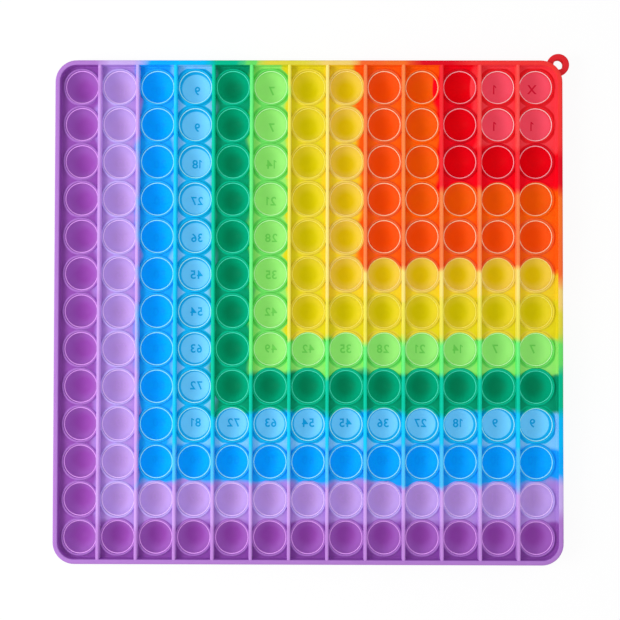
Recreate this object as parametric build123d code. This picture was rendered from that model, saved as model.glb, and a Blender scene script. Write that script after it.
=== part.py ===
from build123d import *
import math
import os

# A moulded silicone pop board with a square field of popping bubbles. Millimetres throughout.
# The board lies with its bubbles hanging down: +Z is up, +Y the top edge, +X the right edge.
# The origin is the underside of the middle bubble, on the surface that the board lies on.

# Driving dimensions: the bubble field
bubbles_per_side = 13
column_gap = 3.3
row_gap = 3.1
seam = 0.02

# Driving dimensions: the border, the ribs between the columns and the floor between the bubbles
border_thickness = 3.5
border_height = 10.0
border_round = 1.1
corner_radius = 11.5
field_corner_radius = 8.0
rib_thickness = 1.8
rib_height = 9.6
rib_round = 0.7
floor_thickness = 1.4
floor_tip = 2.0

# Driving dimensions: one bubble
mouth_radius = 8.45
dome_depth = 7.0
crown_thickness = 1.2
hinge_thickness = 0.45
lip_height = 0.7
lip_width = 0.35
groove_width = 0.2
cap_radius = 4.8
cap_clearance = 0.15
pad_inset = 0.5
pad_height = 0.2
collar_height = 3.4
collar_round = 0.4

# Driving dimensions: the hanging loop at the top right corner
loop_radius = 5.9
loop_hole_radius = 2.65
loop_thickness = 3.4
loop_round = 1.2
loop_hole_round = 0.6
loop_hole_wall = 0.25

# Sizes that follow from the driving dimensions
middle = (bubbles_per_side - 1) / 2
column_pitch = 2 * mouth_radius + column_gap
row_pitch = 2 * mouth_radius + row_gap
dome_drop = dome_depth + crown_thickness + pad_height
hinge_z = dome_drop
dome_sphere = (mouth_radius**2 + dome_depth**2) / (2 * dome_depth)
crown_sphere = dome_sphere + crown_thickness
sphere_z = dome_sphere - dome_depth
pad_radius = cap_radius - pad_inset
skirt_bore = cap_radius + cap_clearance
lip_radius = mouth_radius + lip_width
collar_inner = lip_radius + groove_width
collar_outer = row_pitch / 2 - seam
rib_side = (column_pitch - rib_thickness) / 2
border_side = row_pitch / 2
field_width = (bubbles_per_side - 1) * column_pitch + 2 * border_side
field_height = bubbles_per_side * row_pitch
board_width = field_width + 2 * border_thickness
board_height = field_height + 2 * border_thickness


def column_x(column):
    """X of a column of bubbles, counted from the left."""
    return (column - middle) * column_pitch


def row_y(row):
    """Y of a row of bubbles, counted from the top."""
    return (middle - row) * row_pitch


def band_of(row, column):
    """The colour band of a bubble: an L of bubbles that turns its corner towards the lower left."""
    return max(row, bubbles_per_side - 1 - column)


def on_sphere(radius, sphere):
    """The point of a bubble's profile on a sphere about its dome centre, at that radius from its axis."""
    return (radius, sphere_z - math.sqrt(sphere**2 - radius**2))


def at_angle(angle, sphere):
    """The point of a bubble's profile on a sphere about its dome centre, at an angle from straight down."""
    return (sphere * math.sin(angle), sphere_z - sphere * math.cos(angle))


def turned(*lines):
    """A solid of revolution about Z from the lines round half its section."""
    section = make_face(Curve() + list(lines))
    return revolve(Plane.XZ * section, Axis.Z)


def arc_on_sphere(start, end, sphere):
    """The stretch of a bubble's profile on a sphere between two radii."""
    return ThreePointArc(
        on_sphere(start, sphere), on_sphere((start + end) / 2, sphere), on_sphere(end, sphere)
    )


def make_cap():
    """The stiff crown of a bubble, dished above, with a flat round pad below."""
    foot = Polyline(
        on_sphere(pad_radius, crown_sphere), (pad_radius, -dome_drop), (0, -dome_drop), (0, -dome_depth)
    )
    return turned(
        arc_on_sphere(0, cap_radius, dome_sphere),
        Line(on_sphere(cap_radius, dome_sphere), on_sphere(cap_radius, crown_sphere)),
        arc_on_sphere(cap_radius, pad_radius, crown_sphere),
        foot,
    )


def make_skirt():
    """The bubble's flexible wall, thin at the hinge by the mouth and thicker towards the crown."""
    mouth_angle = math.atan2(mouth_radius, sphere_z)
    crown_angle = math.asin(skirt_bore / dome_sphere)
    half_way = (mouth_angle + crown_angle) / 2
    half_way_sphere = dome_sphere + (crown_thickness + hinge_thickness) / 2
    rim = Polyline(
        (mouth_radius, 0),
        (mouth_radius, lip_height),
        (lip_radius, lip_height),
        (lip_radius, hinge_thickness),
        (collar_inner, hinge_thickness),
        (collar_inner, -hinge_thickness),
        (lip_radius, -hinge_thickness),
    )
    return turned(
        ThreePointArc(
            on_sphere(skirt_bore, dome_sphere), at_angle(half_way, dome_sphere), (mouth_radius, 0)
        ),
        rim,
        ThreePointArc(
            (lip_radius, -hinge_thickness),
            at_angle(half_way, half_way_sphere),
            on_sphere(skirt_bore, crown_sphere),
        ),
        Line(on_sphere(skirt_bore, crown_sphere), on_sphere(skirt_bore, dome_sphere)),
    )


def make_collar(left_side, right_side):
    """The raised ring round a bubble's mouth, cut flat where it runs into the ribs."""
    width = collar_outer - collar_inner
    section = Pos((collar_inner + collar_outer) / 2, 0) * RectangleRounded(width, collar_height, collar_round)
    ring = revolve(Plane.XZ * section, Axis.Z)
    room = Box(left_side + right_side, row_pitch, collar_height)
    return ring & Pos((right_side - left_side) / 2, 0, 0) * room


def make_floor(side, above, below):
    """The three-cornered floor beside a rib, to the right of a column, between two rows of collars."""
    reach = row_pitch / 2 - floor_tip
    top = reach if above else 0
    bottom = -reach if below else 0
    outline = Pos((floor_tip + side) / 2, (top + bottom) / 2) * Rectangle(side - floor_tip, top - bottom)
    outline -= Pos(0, row_pitch / 2) * Circle(collar_outer)
    outline -= Pos(0, -row_pitch / 2) * Circle(collar_outer)
    return Pos(0, 0, -floor_thickness / 2) * extrude(outline, floor_thickness)


def make_border():
    """The thick rounded border round the field."""
    outline = RectangleRounded(board_width, board_height, corner_radius)
    outline -= RectangleRounded(field_width, field_height, field_corner_radius)
    frame = extrude(outline, border_height)
    rims = frame.faces().sort_by(Axis.Z)[0].edges() + frame.faces().sort_by(Axis.Z)[-1].edges()
    return Pos(0, 0, hinge_z - border_height / 2) * fillet(rims, border_round)


def make_rib():
    """One rib between two columns, from border to border, round along its upper and lower edges."""
    section = RectangleRounded(rib_thickness, rib_height, rib_round)
    rib = extrude(Plane.XZ * section, field_height / 2, both=True)
    return Pos(0, 0, hinge_z) * rib


def loop_centre():
    """Where the loop's hole is, out along the diagonal of the top right corner."""
    reach = (corner_radius + loop_hole_wall + loop_hole_radius) / math.sqrt(2)
    return board_width / 2 - corner_radius + reach, board_height / 2 - corner_radius + reach


def make_loop():
    """The flat hanging loop, which grows from the border's corner at half its height."""
    width = loop_radius - loop_hole_radius
    section = Pos(loop_hole_radius + width / 2, 0) * Rectangle(width, loop_thickness)
    section = fillet(section.vertices().sort_by(Axis.X)[-2:], loop_round)
    section = fillet(section.vertices().sort_by(Axis.X)[:2], loop_hole_round)
    ring = revolve(Plane.XZ * section, Axis.Z)
    board = extrude(RectangleRounded(board_width, board_height, corner_radius), border_height)
    placed = Pos(*loop_centre(), hinge_z) * ring
    return placed - Pos(0, 0, hinge_z - border_height / 2) * board


def make_field():
    """The room inside the border, with its rounded corners."""
    field = extrude(RectangleRounded(field_width, field_height, field_corner_radius), dome_drop)
    return Pos(0, 0, hinge_z - dome_drop / 2) * field


def floors_by_band():
    """Every floor piece, gathered by the colour band of the row above it."""
    field = make_field()
    last = bubbles_per_side - 1
    kinds = {}
    bands = {band: [] for band in range(bubbles_per_side)}
    for line in range(bubbles_per_side + 1):
        above, below = line > 0, line <= last
        for column in range(bubbles_per_side):
            for hand in (1, -1):
                at_border = column == (last if hand > 0 else 0)
                kind = (at_border, above, below, hand)
                if kind not in kinds:
                    floor = make_floor(border_side if at_border else rib_side, above, below)
                    kinds[kind] = floor if hand > 0 else mirror(floor, Plane.YZ)
                place = Pos(column_x(column), row_y(line) + row_pitch / 2, hinge_z)
                piece = place * kinds[kind]
                if at_border and not (above and below):
                    piece = piece & field
                bands[band_of(max(line - 1, 0), column)].append(piece)
    return bands


def bubbles_by_band():
    """The collars, skirts and caps of every bubble, gathered by colour band."""
    last = bubbles_per_side - 1
    field = make_field()
    cap, skirt = make_cap(), make_skirt()
    collar, left_collar = make_collar(rib_side, rib_side), make_collar(border_side, rib_side)
    right_collar = make_collar(rib_side, border_side)
    groups = {name: {band: [] for band in range(bubbles_per_side)} for name in ("collars", "skirts", "caps")}
    for row in range(bubbles_per_side):
        for column in range(bubbles_per_side):
            place = Pos(column_x(column), row_y(row), hinge_z)
            band = band_of(row, column)
            ring = left_collar if column == 0 else right_collar if column == last else collar
            ring = place * ring
            if row in (0, last) and column in (0, last):
                ring = ring & field
            groups["collars"][band].append(ring)
            groups["skirts"][band].append(place * skirt)
            groups["caps"][band].append(place * cap)
    return groups


def save(name, pieces):
    """Writes one node as a STEP file of separate solids."""
    solids = [solid for piece in pieces for solid in piece.solids()]
    group = solids[0] if len(solids) == 1 else Compound(label=name, children=solids)
    group.label = name
    export_step(group, os.path.join("parts", name + ".step"))


os.makedirs("parts", exist_ok=True)
save("border_frame", [make_border()])
save("hanging_loop", [make_loop()])
rib = make_rib()
save("divider_ribs", [Pos(column_x(c) + column_pitch / 2, 0, 0) * rib for c in range(bubbles_per_side - 1)])
for band, floors in floors_by_band().items():
    save(f"floor_webs_{band:02d}", floors)
for group, bands in bubbles_by_band().items():
    for band, pieces in bands.items():
        save(f"bubble_{group}_{band:02d}", pieces)
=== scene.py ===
import math

import bmesh
import bpy
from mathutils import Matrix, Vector


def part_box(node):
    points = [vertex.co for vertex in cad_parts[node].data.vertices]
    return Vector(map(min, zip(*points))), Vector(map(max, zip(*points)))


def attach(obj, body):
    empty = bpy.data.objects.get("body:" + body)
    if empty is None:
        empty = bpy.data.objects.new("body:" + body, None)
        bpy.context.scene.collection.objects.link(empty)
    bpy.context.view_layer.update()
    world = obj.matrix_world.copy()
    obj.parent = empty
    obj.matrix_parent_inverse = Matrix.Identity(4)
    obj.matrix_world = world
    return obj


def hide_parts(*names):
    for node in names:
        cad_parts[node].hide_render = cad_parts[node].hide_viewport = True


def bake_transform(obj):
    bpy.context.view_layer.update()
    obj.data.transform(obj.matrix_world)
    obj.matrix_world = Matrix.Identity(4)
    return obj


# The looks of a moulded silicone pop board. Metres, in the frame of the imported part.
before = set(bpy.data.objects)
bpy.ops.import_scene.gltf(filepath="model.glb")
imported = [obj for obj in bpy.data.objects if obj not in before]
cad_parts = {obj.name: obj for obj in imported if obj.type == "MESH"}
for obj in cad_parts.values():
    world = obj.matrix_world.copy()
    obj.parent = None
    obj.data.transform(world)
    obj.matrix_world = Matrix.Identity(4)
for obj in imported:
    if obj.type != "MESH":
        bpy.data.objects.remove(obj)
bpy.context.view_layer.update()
MM = 0.001

# Sizes read from the frame
bubbles_per_side = 13
last = bubbles_per_side - 1
first_low, first_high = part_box("bubble_caps_00")
field_low, field_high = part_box("bubble_caps_12")
cap_radius = (first_high.x - first_low.x) / 2
column_pitch = (field_high.x - field_low.x - 2 * cap_radius) / last
row_pitch = (field_high.y - field_low.y - 2 * cap_radius) / last
border_low, border_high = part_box("border_frame")
hinge_z = (border_low.z + border_high.z) / 2
rest_z = first_low.z

# Sizes of one bubble, close to the part's: its mouth is a little narrower, its lip wider and round
mouth_radius = 8.37 * MM
dome_depth = 7.0 * MM
crown_thickness = 1.2 * MM
hinge_thickness = 0.45 * MM
lip_height = 0.7 * MM
lip_width = 0.52 * MM
collar_inner = 9.0 * MM
collar_outer = row_pitch / 2
collar_top = 1.7 * MM
floor_top = 0.7 * MM
pad_radius = 4.3 * MM
pad_rim = 0.22 * MM
pad_recess = 0.3 * MM
pad_step = 0.2 * MM
pad_edge = 0.12 * MM
pad_edge_rise = 0.05 * MM
pad_slope_share = 1.5
lip_lean = 0.02 * MM
lip_shoulder_share = 0.7
lip_crest_share = 0.25
lip_points = 4
hinge_tuck = 0.2 * MM
hinge_edge_share = 0.8
wall_growth_share = 1.6
collar_width = 1.3 * MM
dome_sphere = (mouth_radius**2 + dome_depth**2) / (2 * dome_depth)
crown_sphere = dome_sphere + crown_thickness
sphere_z = dome_sphere - dome_depth

# How finely round shapes are cut, and how far apart rings stay where they meet a cell's edge
ring_segments = 48
wall_steps = 12
ring_spread = 0.004 * MM
least_share = 1e-6
web_sharp_degrees = 50
number_sharp_degrees = 30
CORNERS = ((1, 1), (-1, 1), (-1, -1), (1, -1))

# Colours of the bands, from the corner with the loop to the far corner. Each band is one silicone, and the
# colours of its zones (collar, cup, floor, rib, border) are lit and shaded copies of it: painted light and
# shade. A lip's pale colour is a painted highlight
BANDS = [
    {
        "slot": "red",
        "collar": (234, 36, 46),
        "cup": (230, 86, 108),
        "lip": (255, 214, 216),
        "floor": (252, 66, 78),
        "rib": (255, 84, 80),
        "border": (246, 60, 57),
    },
    {
        "slot": "red",
        "collar": (234, 36, 46),
        "cup": (230, 86, 108),
        "lip": (255, 214, 216),
        "floor": (252, 70, 80),
        "rib": (255, 84, 82),
        "border": (246, 58, 56),
    },
    {
        "slot": "red",
        "collar": (218, 12, 32),
        "cup": (236, 0, 20),
        "lip": (255, 182, 192),
        "floor": (250, 6, 32),
        "rib": (252, 50, 58),
        "border": (226, 18, 36),
    },
    {
        "slot": "orange",
        "collar": (238, 98, 40),
        "cup": (241, 107, 2),
        "lip": (255, 219, 172),
        "floor": (254, 106, 12),
        "rib": (255, 142, 80),
        "border": (248, 116, 46),
    },
    {
        "slot": "orange",
        "collar": (240, 104, 48),
        "cup": (244, 92, 4),
        "lip": (255, 222, 184),
        "floor": (254, 104, 18),
        "rib": (255, 136, 80),
        "border": (247, 108, 50),
    },
    {
        "slot": "yellow",
        "collar": (240, 212, 98),
        "cup": (231, 206, 8),
        "lip": (250, 226, 140),
        "floor": (246, 215, 44),
        "rib": (252, 230, 130),
        "border": (242, 209, 116),
    },
    {
        "slot": "yellow",
        "collar": (236, 218, 68),
        "cup": (222, 211, 2),
        "lip": (246, 234, 106),
        "floor": (233, 220, 34),
        "rib": (240, 230, 90),
        "border": (222, 211, 66),
    },
    {
        "slot": "light_green",
        "collar": (118, 222, 106),
        "cup": (157, 223, 126),
        "lip": (212, 255, 192),
        "floor": (160, 238, 122),
        "rib": (112, 244, 132),
        "border": (106, 222, 104),
    },
    {
        "slot": "green",
        "collar": (4, 184, 142),
        "cup": (0, 152, 110),
        "lip": (80, 236, 206),
        "floor": (4, 158, 118),
        "rib": (10, 204, 168),
        "border": (2, 186, 142),
    },
    {
        "slot": "light_blue",
        "collar": (18, 182, 236),
        "cup": (121, 205, 239),
        "lip": (186, 252, 255),
        "floor": (136, 208, 255),
        "rib": (28, 206, 255),
        "border": (6, 185, 246),
    },
    {
        "slot": "blue",
        "collar": (28, 172, 244),
        "cup": (0, 180, 252),
        "lip": (168, 246, 255),
        "floor": (24, 172, 252),
        "rib": (84, 198, 255),
        "border": (12, 171, 254),
    },
    {
        "slot": "light_purple",
        "collar": (194, 172, 238),
        "cup": (200, 167, 226),
        "lip": (238, 208, 255),
        "floor": (184, 146, 224),
        "rib": (208, 165, 238),
        "border": (199, 172, 235),
    },
    {
        "slot": "purple",
        "collar": (176, 118, 204),
        "cup": (164, 84, 184),
        "lip": (240, 176, 255),
        "floor": (152, 84, 180),
        "rib": (196, 140, 222),
        "border": (177, 124, 206),
    },
]
# Bands of clearer silicone, with the radius of the pale disc painted in their cups: painted light, for the
# light that a thin crown lets through
PAINTED_LIGHT_DISCS = {0: 8.1 * MM, 1: 8.1 * MM, 7: 8.1 * MM, 9: 7.4 * MM}
# How much further than usual the collar's colour runs out over the floor; collar and floor colours are
# painted light and shade of one silicone
COLLAR_REACH = {0: 0.9 * MM, 1: 0.9 * MM, 3: -1.1 * MM, 7: 0.9 * MM, 9: 0.9 * MM}
# Bands whose rows have collars that the band above runs over
RUN_OVER_BANDS = (5, 7, 9)
# How much of the collar's colour the other cups take on by their rims, where it isn't the usual share:
# painted shade, which leaves the bottom of a cup in its own deeper colour
cup_shade_share = 0.45
CUP_SHADE_SHARES = {5: 0.7, 6: 0.6, 8: 0.75, 12: 0.65}
# Painted shade: darker numbers inside the cups, for the numbers on the pads that show through as shade
PAINTED_NUMBER_SHADES = {
    0: (208, 30, 61),
    1: (208, 30, 61),
    7: (122, 206, 98),
    9: (16, 164, 214),
    10: (0, 175, 250),
    11: (203, 168, 230),
}
LOOP_COLOUR = (226, 42, 50)
# Bands whose cup in the top row takes on, along its right side, the colour that is poured there
CUP_RUN_BANDS = (2, 3)
# Bands whose painted number shade sits higher up in the cup
SHIFTED_NUMBER_BANDS = (0, 1)

# How far each band runs on into the next, in cells, for bands 1 to 12
FLOOR_SHARES_ACROSS = (0.1, 0.15, 0.1, 0.12, 0.2, 0.12, 0.14, 0.02, 0.03, 0.1, 0.01, 0.12)
RIB_SHARES_ACROSS = (0.15, 0.15, 0.25, 0.16, 0.2, 0.16, 0.16, 0.15, 0.3, 0.14, -0.1, 0.06)
FLOOR_SHARES_DOWN = (0.1, 0.15, 0.28, 0.15, 0.42, 0.16, 0.26, 0.18, 0.19, 0.1, 0.08, 0.15)
BORDER_SHARES_ACROSS = (0.3, 0.5, 0.87, 0.5, 0.07, 0.4, 0.9, 0.2, 0.1, 0.0, -0.2, 0.0)
BORDER_SHARES_DOWN = (0.1, 0.15, 0.38, 0.4, 0.74, 0.5, 0.2, 0.0, 0.2, 0.1, 0.0, -0.16)


def linear(colour):
    """A colour of 0 to 255 a channel, as the shader wants it."""
    shares = [c / 255 for c in colour]
    return tuple(s / 12.92 if s <= 0.04045 else ((s + 0.055) / 1.055) ** 2.4 for s in shares) + (1.0,)


def band_of(row, column):
    """The colour band of a bubble."""
    return max(row, last - column)


def centre_of(row, column):
    """The axis of a bubble: rows count from the top, columns from the left."""
    return (column - last / 2) * column_pitch, (last / 2 - row) * row_pitch


def bubbles_in(band):
    """Every bubble of one colour band, as row and column."""
    places = [(r, c) for r in range(bubbles_per_side) for c in range(bubbles_per_side)]
    return [(r, c) for r, c in places if band_of(r, c) == band]


def new_object(name, points, faces, sharp_degrees=40):
    """A mesh object in the part's frame, smooth except over sharp edges."""
    mesh = bpy.data.meshes.new(name)
    mesh.from_pydata(points, [], faces)
    mesh.validate()
    mesh.shade_smooth()
    mesh.set_sharp_from_angle(angle=math.radians(sharp_degrees))
    piece = bpy.data.objects.new(name, mesh)
    bpy.context.scene.collection.objects.link(piece)
    return piece


# Bubbles: one closed dome wall each, turned about its axis
def on_sphere(radius, sphere):
    """The height over the hinge of a sphere about the dome's centre, at a radius from the bubble's axis."""
    return sphere_z - math.sqrt(sphere**2 - radius**2)


def bubble_profile():
    """A bubble's half section, from its axis inside over the lip to its axis below, and the lip's steps."""
    mouth_angle = math.atan2(mouth_radius, sphere_z)
    profile = []
    for step in range(wall_steps + 1):
        angle = mouth_angle * step / wall_steps
        profile.append((dome_sphere * math.sin(angle), sphere_z - dome_sphere * math.cos(angle)))
    lip_out = mouth_radius + lip_width
    lip_start = len(profile) - 1
    profile += [
        (mouth_radius + lip_lean, lip_height * lip_shoulder_share),
        (mouth_radius + lip_width * lip_crest_share, lip_height),
        (lip_out - lip_width * lip_crest_share, lip_height),
        (lip_out, lip_height * lip_shoulder_share),
        (lip_out + lip_lean, hinge_thickness),
        (collar_inner + hinge_tuck, hinge_thickness * hinge_edge_share),
        (collar_inner + hinge_tuck, -hinge_thickness * hinge_edge_share),
        (lip_out, -hinge_thickness),
    ]
    foot_angle = math.asin((pad_radius + pad_rim) / crown_sphere)
    for step in range(1, wall_steps + 1):
        share = step / wall_steps
        angle = mouth_angle * (1 - share) + foot_angle * share
        wall = hinge_thickness + (crown_thickness - hinge_thickness) * min(1, wall_growth_share * share)
        sphere = dome_sphere + wall
        profile.append((sphere * math.sin(angle), sphere_z - sphere * math.cos(angle)))
    drop = rest_z - hinge_z
    profile += [
        (pad_radius, drop + pad_step),
        (pad_radius - pad_edge / 2, drop + pad_edge_rise),
        (pad_radius - pad_edge, drop),
        (pad_radius - pad_rim, drop),
        (pad_radius - pad_slope_share * pad_rim, drop + pad_recess),
        (0.0, drop + pad_recess),
    ]
    return profile, range(lip_start + 1, lip_start + 1 + lip_points)


def make_bubbles(band):
    """All the bubbles of one band, as one piece."""
    points, faces, lip_faces = [], [], []
    profile, lip_steps = bubble_profile()
    rings = profile[1:-1]
    for row, column in bubbles_in(band):
        x, y = centre_of(row, column)
        base = len(points)
        points.append((x, y, hinge_z + profile[0][1]))
        for radius, z in rings:
            for step in range(ring_segments):
                angle = 2 * math.pi * step / ring_segments
                points.append((x + radius * math.cos(angle), y + radius * math.sin(angle), hinge_z + z))
        points.append((x, y, hinge_z + profile[-1][1]))
        end = len(points) - 1
        for step in range(ring_segments):
            after = (step + 1) % ring_segments
            faces.append((base, base + 1 + step, base + 1 + after))
            for ring in range(len(rings) - 1):
                low = base + 1 + ring * ring_segments
                high = low + ring_segments
                if ring + 1 in lip_steps:
                    lip_faces.append(len(faces))
                faces.append((low + step, high + step, high + after, low + after))
            low = base + 1 + (len(rings) - 1) * ring_segments
            faces.append((low + step, end, low + after))
    piece = new_object(f"bubbles_band_{band:02d}", points, faces)
    piece.data.materials.append(dome_silicone(band))
    piece.data.materials.append(lip_silicone(band))
    for face in lip_faces:
        piece.data.polygons[face].material_index = 1
    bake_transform(piece)
    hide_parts(f"bubble_skirts_{band:02d}", f"bubble_caps_{band:02d}")
    return piece


# The web: floor and collars as one skin round each mouth.
# The collar's section, as shares of its width and of its height over the floor
COLLAR_SHARES = (
    (0.0, 0.2),
    (0.02, 0.72),
    (0.1, 0.93),
    (0.24, 1.0),
    (0.4, 1.0),
    (0.56, 0.9),
    (0.68, 0.66),
    (0.76, 0.34),
    (0.86, 0.1),
    (1.0, 0.0),
)


def cell_angles():
    """Directions round a cell, with one through each of its corners."""
    corner = math.atan2(row_pitch, column_pitch)
    angles = [2 * math.pi * step / ring_segments for step in range(ring_segments)]
    eighth = ring_segments // 8
    for step, angle in ((1, corner), (3, math.pi - corner), (5, math.pi + corner), (7, -corner)):
        angles[step * eighth] = angle
    return angles


def web_cell(centre, points, faces):
    """The closed skin of one cell between its mouth and its four sides."""
    x, y = centre
    base = len(points)
    rings = len(COLLAR_SHARES) + 1
    for side in (1, -1):
        for ring in range(rings):
            for angle in cell_angles():
                cos, sin = math.cos(angle), math.sin(angle)
                to_side = column_pitch / 2 / max(abs(cos), least_share)
                edge = min(to_side, row_pitch / 2 / max(abs(sin), least_share))
                radius = edge
                height = 0.0
                if ring < rings - 1:
                    share, height = COLLAR_SHARES[ring]
                    radius = collar_inner + collar_width * share
                beyond = max(0.0, radius - edge)
                if beyond or (ring == rings - 1 and edge < collar_inner + collar_width):
                    reach = max(0.0, min(1.0, (edge - collar_inner) / collar_width))
                    height = max(h for s, h in COLLAR_SHARES if s >= reach or h == 0.0)
                    radius = edge - (rings - 1 - ring) * ring_spread
                z = floor_top + (collar_top - floor_top) * height
                points.append((x + radius * cos, y + radius * sin, hinge_z + side * z))
    under = base + rings * ring_segments
    for step in range(ring_segments):
        after = (step + 1) % ring_segments
        for ring in range(rings - 1):
            low, high = ring * ring_segments, (ring + 1) * ring_segments
            faces.append((base + low + step, base + high + step, base + high + after, base + low + after))
            faces.append(
                (under + low + after, under + high + after, under + high + step, under + low + step)
            )
        faces.append((under + step, base + step, base + after, under + after))
        rim = (rings - 1) * ring_segments
        faces.append((base + rim + step, under + rim + step, under + rim + after, base + rim + after))


def make_web(band):
    """The floor and collars of one band, as one moulded skin."""
    points, faces = [], []
    for row, column in bubbles_in(band):
        web_cell(centre_of(row, column), points, faces)
    piece = new_object(f"web_band_{band:02d}", points, faces, web_sharp_degrees)
    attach(piece, "board")
    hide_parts(f"floor_webs_{band:02d}", f"bubble_collars_{band:02d}")
    return piece


# Border and ribs: the border stands on a foot that meets the floor, and the ribs run into it
outer_corner = 11.5 * MM
border_round = 1.1 * MM
border_inner_round = 0.5 * MM
border_top_width = 2.6 * MM
border_foot_width = 3.5 * MM
border_foot_z = 0.8 * MM
border_foot_round = 0.4 * MM
rib_half_width = 0.9 * MM
rib_half_height = 4.8 * MM
rib_round = 0.7 * MM
rib_end_inset = 1.9 * MM
corner_run = 1.0 * MM
corner_steps = 12
round_steps = 6


def arc(centre, radius, start, end, steps):
    """Points of an arc about a centre, from one angle to another."""
    angles = [start + (end - start) * step / steps for step in range(steps + 1)]
    return [(centre[0] + radius * math.cos(a), centre[1] + radius * math.sin(a)) for a in angles]


def border_profile():
    """The border's section, as insets and heights over the hinge, and which of its levels face inwards."""
    top = (border_high.z - border_low.z) / 2
    upper = arc((border_round, top - border_round), border_round, math.pi, math.pi / 2, round_steps)
    inner = (border_top_width - border_inner_round, top - border_inner_round)
    upper += arc(inner, border_inner_round, math.pi / 2, 0.0, round_steps)
    inside = len(upper) - 1
    foot = (border_top_width + border_foot_round, border_foot_z + border_foot_round)
    upper += arc(foot, border_foot_round, math.pi, 1.5 * math.pi, round_steps)
    upper.append((border_foot_width, border_foot_z))
    profile = upper + [(inset, -z) for inset, z in reversed(upper)]
    return profile, range(inside, len(profile) - 1 - inside)


def border_path(inset):
    """A round-cornered path round the board, with a short straight run at each end of a corner."""
    path = []
    for quarter, (side, up) in enumerate(CORNERS):
        centre = (side * (border_high.x - outer_corner), up * (border_high.y - outer_corner))
        start = quarter * math.pi / 2
        bend = arc(centre, outer_corner - inset, start, start + math.pi / 2, corner_steps)
        along = (math.sin(start) * corner_run, -math.cos(start) * corner_run)
        path.append((bend[0][0] + along[0], bend[0][1] + along[1]))
        path += bend
        path.append((bend[-1][0] + along[1], bend[-1][1] - along[0]))
    return path


def make_border():
    """The border as one closed moulding."""
    points, faces, inner_faces = [], [], []
    profile, inner_levels = border_profile()
    for inset, z in profile:
        points += [(x, y, hinge_z + z) for x, y in border_path(inset)]
    length = len(points) // len(profile)
    for level in range(len(profile)):
        above = (level + 1) % len(profile)
        for step in range(length):
            after = (step + 1) % length
            if level in inner_levels:
                inner_faces.append(len(faces))
            low, high = level * length, above * length
            faces.append((low + step, low + after, high + after, high + step))
    piece = new_object("border", points, faces)
    piece.data.materials.append(
        body_silicone("silicone_border", BORDER_SHARES_ACROSS, BORDER_SHARES_DOWN, "border", border_blur)
    )
    # The inward faces take the floor's colours: painted shade on the border's inner wall and foot
    piece.data.materials.append(
        body_silicone("silicone_border_inside_shade", FLOOR_SHARES_ACROSS, FLOOR_SHARES_DOWN, "floor")
    )
    for face in inner_faces:
        piece.data.polygons[face].material_index = 1
    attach(piece, "board")
    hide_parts("border_frame")
    return piece


def make_ribs():
    """The ribs between the columns, each closed, with its ends inside the border."""
    section = []
    for quarter, (side, up) in enumerate(CORNERS):
        centre = (side * (rib_half_width - rib_round), up * (rib_half_height - rib_round))
        start = quarter * math.pi / 2
        section += arc(centre, rib_round, start, start + math.pi / 2, round_steps)
    size = len(section)
    end = border_high.y - rib_end_inset
    points, faces = [], []
    for column in range(last):
        middle = (column + 0.5 - last / 2) * column_pitch
        base = len(points)
        for y in (end, -end):
            points += [(middle + x, y, hinge_z + z) for x, z in section]
        for step in range(size):
            after = (step + 1) % size
            faces.append((base + step, base + after, base + size + after, base + size + step))
        faces.append(tuple(base + step for step in reversed(range(size))))
        faces.append(tuple(base + size + step for step in range(size)))
    piece = new_object("ribs", points, faces)
    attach(piece, "board")
    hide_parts("divider_ribs")
    return piece


# Numbers: a plain multiplication table on the pads, which reads from below
ONE_SHARES = ((0.13, 0.0), (0.23, 0.0), (0.23, 0.7), (0.15, 0.7), (0.0, 0.58), (0.0, 0.48), (0.13, 0.57))
figure_gap_share = 0.1
figure_weight_share = 0.02
figure_weld_share = 1e-4
figure_resolution = 3
number_edge = 0.7 * MM
number_cuts = 2
pad_number_height = 4.7 * MM
pad_number_width = 6.4 * MM
pad_number_rise = 0.22 * MM
pad_number_sink = 0.04 * MM
seen_number_height = 4.8 * MM
seen_number_width = 6.6 * MM
seen_number_thickness = 0.2 * MM
seen_number_skin = 0.02 * MM
seen_number_shift = 0.8 * MM
FIGURES = {}
NUMBERS = {}


def number_of(row, column):
    """The number on a bubble's pad: a factor along the top and the right, and a product elsewhere."""
    across = last - column
    if row == 0 or across == 0:
        return "X" if row == across else str(max(row, across))
    return str(row * across)


def figure_mesh(letter):
    """One figure in plain type, flat, as points and faces, with its left edge at zero."""
    if letter not in FIGURES:
        if letter == "1":
            spots = [Vector((px, py, 0)) for px, py in ONE_SHARES]
            FIGURES[letter] = (spots, [tuple(range(len(ONE_SHARES)))])
        else:
            curve = bpy.data.curves.new("figure", "FONT")
            curve.body = letter
            curve.resolution_u = figure_resolution
            curve.offset = figure_weight_share
            holder = bpy.data.objects.new("figure", curve)
            bpy.context.scene.collection.objects.link(holder)
            bpy.context.view_layer.update()
            graph = bpy.context.evaluated_depsgraph_get()
            flat = bpy.data.meshes.new_from_object(holder.evaluated_get(graph))
            left = min(v.co.x for v in flat.vertices)
            spots = [Vector((v.co.x - left, v.co.y, 0)) for v in flat.vertices]
            FIGURES[letter] = (spots, [tuple(f.vertices) for f in flat.polygons])
            bpy.data.objects.remove(holder)
            bpy.data.curves.remove(curve)
            bpy.data.meshes.remove(flat)
    return FIGURES[letter]


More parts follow.
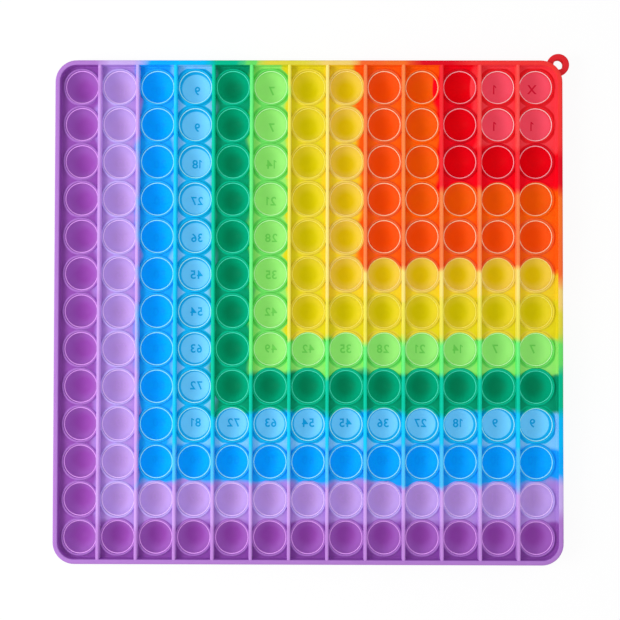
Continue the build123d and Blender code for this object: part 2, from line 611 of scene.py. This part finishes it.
def number_mesh(text, height, widest, thickness):
    """The points and faces of a number about its middle, closed, and cut fine enough to bend."""
    work = bmesh.new()
    at = 0.0
    for letter in text:
        spots, sides = figure_mesh(letter)
        made = [work.verts.new((spot.x + at, spot.y, 0)) for spot in spots]
        for side in sides:
            work.faces.new([made[i] for i in side])
        at += max(spot.x for spot in spots) + figure_gap_share
    bmesh.ops.remove_doubles(work, verts=work.verts, dist=figure_weld_share)
    xs = [v.co.x for v in work.verts]
    ys = [v.co.y for v in work.verts]
    middle = Vector(((min(xs) + max(xs)) / 2, (min(ys) + max(ys)) / 2, 0))
    scale = min(height / (max(ys) - min(ys)), widest / (max(xs) - min(xs)))
    for vertex in work.verts:
        vertex.co = (vertex.co - middle) * scale
    bmesh.ops.triangulate(work, faces=work.faces)
    long_edges = [e for e in work.edges if e.calc_length() > number_edge]
    bmesh.ops.subdivide_edges(work, edges=long_edges, cuts=number_cuts, use_grid_fill=True)
    bmesh.ops.triangulate(work, faces=work.faces)
    raised = bmesh.ops.extrude_face_region(work, geom=work.faces[:])
    for item in raised["geom"]:
        if isinstance(item, bmesh.types.BMVert):
            item.co.z += thickness
    bmesh.ops.recalc_face_normals(work, faces=work.faces)
    work.verts.index_update()
    points = [tuple(v.co) for v in work.verts]
    faces = [tuple(v.index for v in f.verts) for f in work.faces]
    work.free()
    return points, faces


def make_numbers(band, name, height, widest, thickness, lift, shift=0.0):
    """The numbers of one band, moved up by shift. lift turns a radius and a rise into a height."""
    points, faces = [], []
    for row, column in bubbles_in(band):
        key = (number_of(row, column), height, widest, thickness)
        if key not in NUMBERS:
            NUMBERS[key] = number_mesh(*key)
        shape, sides = NUMBERS[key]
        x, y = centre_of(row, column)
        base = len(points)
        for px, py, pz in shape:
            points.append((x - px, y + py + shift, hinge_z + lift(math.hypot(px, py + shift), pz)))
        faces += [tuple(base + i for i in side) for side in sides]
    piece = new_object(f"{name}_band_{band:02d}", points, faces, number_sharp_degrees)
    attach(piece, f"pop_band_{band:02d}")
    return piece


def on_pad(radius, rise):
    """The height over the hinge of a number that stands on the flat pad, at any radius."""
    return rest_z - hinge_z + pad_recess + pad_number_sink - rise


def on_inside(radius, rise):
    """The height over the hinge of a painted number shade inside the cup, where the number on the pad shows
    through as shade.
    """
    return on_sphere(radius, dome_sphere) + seen_number_skin - seen_number_thickness + rise


# Materials: how the poured colours wander and blur, in cells, and how the cups change towards their rims,
# which is painted light and shade
edge_wander = 0.7
wander_scale = 58.0
wander_detail = 1.5
WANDER_SHIFT = (0.31, 0.17, 0.0)
edge_blur = 0.06
border_blur = 0.2
rib_blur = 0.09
span = bubbles_per_side + 1.0
band_tolerance = 0.5
collar_edge = 0.1 * MM
collar_blur = 0.3 * MM
clear_rim_shade = 0.85
clear_blur = 0.4 * MM
cup_shade_start = 3.0 * MM
cup_run_start = 5.9 * MM
cup_run_end = 6.7 * MM
# Painted light: glow, an emission that stands in for the light that thin walls let through
painted_cup_glow = 0.04
painted_clear_glow = 0.15
painted_lip_glow = 0.06
# The silicone's surface
mottle_scale = 120.0
mottle_detail = 3.0
mottle_least = 0.96
mottle_depth = 0.08
grain_scale = 900.0
grain_detail = 2.0
roughness_least = 0.44
roughness_depth = 0.14
bump_strength = 0.08
bump_distance = 0.1 * MM
scatter_weight = 0.15
scatter_scale = 1.0 * MM
SCATTER_RADII = (1.0, 1.0, 1.0)
specular_level = 0.04


class Nodes:
    """A short way to build a material's nodes."""

    def __init__(self, name):
        self.material = bpy.data.materials.new(name)
        self.material.use_nodes = True
        self.tree = self.material.node_tree
        self.shader = self.tree.nodes["Principled BSDF"]

    def node(self, kind, **settings):
        made = self.tree.nodes.new(kind)
        for key, value in settings.items():
            setattr(made, key, value)
        return made

    def feed(self, socket, value):
        if isinstance(value, bpy.types.NodeSocket):
            self.tree.links.new(value, socket)
        else:
            socket.default_value = value

    def math(self, operation, *values):
        made = self.node("ShaderNodeMath", operation=operation)
        for socket, value in zip(made.inputs, values):
            self.feed(socket, value)
        return made.outputs[0]

    def mix(self, share, first, second):
        made = self.node("ShaderNodeMix", data_type="RGBA")
        self.feed(made.inputs["Factor"], share)
        self.feed(made.inputs[6], first)
        self.feed(made.inputs[7], second)
        return made.outputs[2]

    def noise(self, scale, detail, vector):
        made = self.node("ShaderNodeTexNoise")
        made.inputs["Scale"].default_value = scale
        made.inputs["Detail"].default_value = detail
        self.feed(made.inputs["Vector"], vector)
        return made.outputs["Fac"]

    def smooth_step(self, value, low, high):
        made = self.node("ShaderNodeMapRange", interpolation_type="SMOOTHSTEP")
        self.feed(made.inputs["Value"], value)
        self.feed(made.inputs["From Min"], low)
        self.feed(made.inputs["From Max"], high)
        return made.outputs["Result"]

    def ramp(self, value, stops):
        made = self.node("ShaderNodeValToRGB")
        elements = made.color_ramp.elements
        elements[0].position, elements[0].color = stops[0]
        elements[1].position, elements[1].color = stops[-1]
        for position, colour in stops[1:-1]:
            elements.new(position).color = colour
        self.feed(made.inputs[0], value)
        return made.outputs[0]

    def place(self):
        """X, Y and a flat vector of a point, and its cell coordinates from the corner with the loop."""
        spot = self.node("ShaderNodeTexCoord").outputs["Object"]
        split = self.node("ShaderNodeSeparateXYZ")
        self.feed(split.inputs[0], spot)
        flat = self.node("ShaderNodeCombineXYZ")
        self.feed(flat.inputs[0], split.outputs[0])
        self.feed(flat.inputs[1], split.outputs[1])
        x, y = split.outputs[0], split.outputs[1]
        across = self.math("SUBTRACT", bubbles_per_side / 2, self.math("DIVIDE", x, column_pitch))
        down = self.math("SUBTRACT", bubbles_per_side / 2, self.math("DIVIDE", y, row_pitch))
        return x, y, flat.outputs[0], across, down

    def cell_radius(self, across, down):
        """The distance from the axis of the nearest bubble."""
        x = self.math("MULTIPLY", self.math("SUBTRACT", self.math("FRACT", across), 0.5), column_pitch)
        y = self.math("MULTIPLY", self.math("SUBTRACT", self.math("FRACT", down), 0.5), row_pitch)
        return self.math("SQRT", self.math("ADD", self.math("MULTIPLY", x, x), self.math("MULTIPLY", y, y)))

    def finish(self, colour, flat, glow=0.0):
        """Silicone: soft, matt and faintly uneven. glow is a painted glow, an emission that stands in for
        the light that thin walls let through.
        """
        clouds = self.noise(mottle_scale, mottle_detail, flat)
        mottle = self.math("ADD", mottle_least, self.math("MULTIPLY", clouds, mottle_depth))
        tone = self.node("ShaderNodeHueSaturation")
        self.feed(tone.inputs["Value"], mottle)
        self.feed(tone.inputs["Color"], colour)
        self.feed(self.shader.inputs["Base Color"], tone.outputs[0])
        self.feed(self.shader.inputs["Emission Color"], tone.outputs[0])
        self.shader.inputs["Emission Strength"].default_value = glow
        grain = self.noise(grain_scale, grain_detail, flat)
        roughness = self.math("ADD", roughness_least, self.math("MULTIPLY", grain, roughness_depth))
        self.feed(self.shader.inputs["Roughness"], roughness)
        bump = self.node("ShaderNodeBump")
        bump.inputs["Strength"].default_value = bump_strength
        bump.inputs["Distance"].default_value = bump_distance
        self.feed(bump.inputs["Height"], grain)
        self.feed(self.shader.inputs["Normal"], bump.outputs[0])
        self.shader.inputs["Subsurface Weight"].default_value = scatter_weight
        self.shader.inputs["Subsurface Radius"].default_value = SCATTER_RADII
        self.shader.inputs["Subsurface Scale"].default_value = scatter_scale
        self.shader.inputs["Specular IOR Level"].default_value = specular_level
        return self.material


def warp(n, value, shares):
    """Turns a place in cells into a band, with each band's edge moved by its share of a cell."""
    stops = [(0.0, (0.0, 0.0, 0.0, 1.0))]
    for band, share in enumerate(shares, 1):
        level = band / span
        stops.append(((band + share) / span, (level, level, level, 1.0)))
    stops.append((1.0, (1.0, 1.0, 1.0, 1.0)))
    return n.ramp(n.math("DIVIDE", value, span), stops)


def band_ramp(n, value, which, blur=edge_blur):
    """The colour of a band, with soft edges from band to band."""
    stops = [(0.0, linear(BANDS[0][which]))]
    for band in range(1, bubbles_per_side):
        stops.append(((band - blur) / span, linear(BANDS[band - 1][which])))
        stops.append(((band + blur) / span, linear(BANDS[band][which])))
    stops.append((1.0, linear(BANDS[last][which])))
    return n.ramp(value, stops)


def body_silicone(name, across_shares, down_shares, which, blur=edge_blur, web=False):
    """Silicone whose poured colours run into one another, for border, ribs, floor and collars."""
    n = Nodes(name)
    flat, across, down = n.place()[2:]
    moved = n.node("ShaderNodeVectorMath", operation="ADD")
    n.feed(moved.inputs[0], flat)
    moved.inputs[1].default_value = WANDER_SHIFT
    wave_across = n.math("SUBTRACT", n.noise(wander_scale, wander_detail, flat), 0.5)
    wave_across = n.math("MULTIPLY", wave_across, edge_wander)
    wave_down = n.math("SUBTRACT", n.noise(wander_scale, wander_detail, moved.outputs[0]), 0.5)
    wave_down = n.math("MULTIPLY", wave_down, edge_wander)
    poured = n.math(
        "MAXIMUM",
        warp(n, n.math("ADD", across, wave_across), across_shares),
        warp(n, n.math("ADD", down, wave_down), down_shares),
    )
    # which picks a zone's colours: painted light and shade of each band's one silicone
    colour = band_ramp(n, poured, which, blur)
    if web:
        column, row = n.math("FLOOR", across), n.math("FLOOR", down)
        cell_band = n.math("MAXIMUM", column, row)
        own = band_ramp(n, n.math("DIVIDE", n.math("ADD", cell_band, 0.5), span), "collar")
        run_over = 0.0
        for band in RUN_OVER_BANDS:
            run_over = n.math("ADD", run_over, n.math("COMPARE", cell_band, band, band_tolerance))
        run_over = n.math("MULTIPLY", run_over, n.math("GREATER_THAN", row, column))
        own = n.mix(run_over, own, band_ramp(n, poured, "collar"))
        # Collar and floor colours, painted light and shade of one silicone, parted by the distance from the
        # bubble's axis
        edge = collar_outer + collar_edge
        for band, reach in COLLAR_REACH.items():
            in_band = n.math("COMPARE", cell_band, band, band_tolerance)
            edge = n.math("ADD", edge, n.math("MULTIPLY", in_band, reach))
        floor_share = n.smooth_step(n.cell_radius(across, down), edge, n.math("ADD", edge, collar_blur))
        colour = n.mix(floor_share, own, colour)
    return n.finish(colour, flat)


def glow_of(band):
    """The painted glow of the cups of one band: an emission that stands in for the light that they let
    through.
    """
    return painted_clear_glow if band in PAINTED_LIGHT_DISCS else painted_cup_glow


def dome_silicone(band):
    """The cups of one band, with painted light and shade. A clear cup is painted paler over its thin crown,
    as light let through, and deeper by its rim, as shade; another cup goes from its own colour at the
    bottom to the collar's by its rim, as painted shade in the hollow.
    """
    n = Nodes(f"silicone_cups_{band:02d}")
    x, y, flat, across, down = n.place()
    radius = n.cell_radius(across, down)
    edge = linear(BANDS[band]["collar"])
    # Painted light and shade of a clear cup: a pale disc over the thin crown, and a darker rim
    if band in PAINTED_LIGHT_DISCS:
        rim = n.smooth_step(radius, PAINTED_LIGHT_DISCS[band], PAINTED_LIGHT_DISCS[band] + clear_blur)
        edge = tuple(clear_rim_shade * c for c in edge[:3]) + (1.0,)
    else:
        # Painted shade: the cup's own deeper colour at the bottom, and the collar's towards the rim
        rim = n.smooth_step(radius, cup_shade_start, mouth_radius)
        rim = n.math("MULTIPLY", rim, CUP_SHADE_SHARES.get(band, cup_shade_share))
    colour = n.mix(rim, linear(BANDS[band]["cup"]), edge)
    if band in CUP_RUN_BANDS:
        centre_x, centre_y = centre_of(0, last - band)
        run = n.smooth_step(x, centre_x + cup_run_start, centre_x + cup_run_end)
        top_row = n.math("GREATER_THAN", y, centre_y - row_pitch / 2)
        colour = n.mix(n.math("MULTIPLY", run, top_row), colour, linear(BANDS[band - 1]["floor"]))
    return n.finish(colour, flat, glow_of(band))


def plain_silicone(name, colour, glow=0.0):
    """Silicone of one colour, with glow as a painted glow in place of light let through."""
    n = Nodes(name)
    flat = n.place()[2]
    return n.finish(linear(colour), flat, glow)


def lip_silicone(band):
    """The lips of one band, painted pale and with a painted glow: a painted highlight on the thin rim."""
    return plain_silicone(f"silicone_lip_highlights_{band:02d}", BANDS[band]["lip"], painted_lip_glow)


def paint(piece, material):
    """One material over a whole piece."""
    piece.data.materials.clear()
    piece.data.materials.append(material)


rib_silicone = body_silicone("silicone_ribs", RIB_SHARES_ACROSS, FLOOR_SHARES_DOWN, "rib", rib_blur)
web_silicone = body_silicone("silicone_web", FLOOR_SHARES_ACROSS, FLOOR_SHARES_DOWN, "floor", web=True)
make_border()
paint(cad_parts["hanging_loop"], plain_silicone("silicone_loop", LOOP_COLOUR))
paint(make_ribs(), rib_silicone)

for band, colours in enumerate(BANDS):
    paint(make_web(band), web_silicone)
    make_bubbles(band)
    raised = make_numbers(band, "pad_numbers", pad_number_height, pad_number_width, pad_number_rise, on_pad)
    paint(raised, plain_silicone(f"silicone_numbers_{band:02d}", colours["collar"]))
    # Painted shade inside the cups, where a pad's number shows through
    if band in PAINTED_NUMBER_SHADES:
        shift = seen_number_shift if band in SHIFTED_NUMBER_BANDS else 0.0
        number_shade_piece = make_numbers(
            band,
            "painted_number_shade",
            seen_number_height,
            seen_number_width,
            seen_number_thickness,
            on_inside,
            shift,
        )
        paint(number_shade_piece, plain_silicone(f"silicone_number_shade_{band:02d}", PAINTED_NUMBER_SHADES[band], glow_of(band)))


# The stage: a pale floor, soft light from the left, and the camera above
floor_reach = 1.6
floor_roughness = 0.8
floor_glow = 1.012
floor_glow_share = 0.9
FLOOR_GREY = (0.9, 0.9, 0.9, 1)
sky_level = 0.76
key_power = 2.55
key_size = 0.37
key_distance = 0.75
KEY_TOWARDS = Vector((0.8, 0.06, -0.74)).normalized()
camera_sensor = 36.0
camera_lens = 49.48
CAMERA_PLACE = (3.23 * MM, -6.23 * MM, hinge_z + 455.0 * MM)
CAMERA_TURN = (0.0155, 0.0050, 0.00198)


def make_floor():
    """The white floor that the board lies on and throws its shadow on."""
    corners = [(x * floor_reach, y * floor_reach, rest_z) for x, y in ((-1, -1), (1, -1), (1, 1), (-1, 1))]
    floor = new_object("floor", corners, [(0, 1, 2, 3)])
    n = Nodes("floor_white")
    n.shader.inputs["Base Color"].default_value = FLOOR_GREY
    n.shader.inputs["Roughness"].default_value = floor_roughness
    glow = n.node("ShaderNodeEmission")
    glow.inputs["Strength"].default_value = floor_glow
    rays = n.node("ShaderNodeLightPath")
    mixed = n.node("ShaderNodeMixShader")
    n.feed(mixed.inputs[0], n.math("MULTIPLY", rays.outputs["Is Camera Ray"], floor_glow_share))
    n.feed(mixed.inputs[1], n.shader.outputs[0])
    n.feed(mixed.inputs[2], glow.outputs[0])
    n.feed(n.tree.nodes["Material Output"].inputs["Surface"], mixed.outputs[0])
    paint(floor, n.material)


def make_lights():
    """An even sky, and a round lamp on the left, near enough for its light to fall off across the board."""
    world = bpy.data.worlds.new("studio")
    bpy.context.scene.world = world
    world.use_nodes = True
    sky = world.node_tree.nodes["Background"]
    sky.inputs["Color"].default_value = (1, 1, 1, 1)
    sky.inputs["Strength"].default_value = sky_level
    key = bpy.data.lights.new("key", "AREA")
    key.shape = "DISK"
    key.size = key_size
    key.energy = key_power
    lamp = bpy.data.objects.new("key", key)
    bpy.context.scene.collection.objects.link(lamp)
    lamp.location = Vector((0.0, 0.0, hinge_z)) - key_distance * KEY_TOWARDS
    lamp.rotation_euler = KEY_TOWARDS.to_track_quat("-Z", "Y").to_euler()
    lamp.visible_camera = False


def make_camera():
    """The camera above the board, fitted to its outline and its rows."""
    camera = bpy.data.cameras.new("camera")
    camera.sensor_width = camera_sensor
    camera.lens = camera_lens
    holder = bpy.data.objects.new("camera", camera)
    bpy.context.scene.collection.objects.link(holder)
    holder.location = CAMERA_PLACE
    holder.rotation_euler = CAMERA_TURN
    bpy.context.scene.camera = holder


make_floor()
make_lights()
make_camera()
bpy.context.scene.view_settings.view_transform = "Standard"
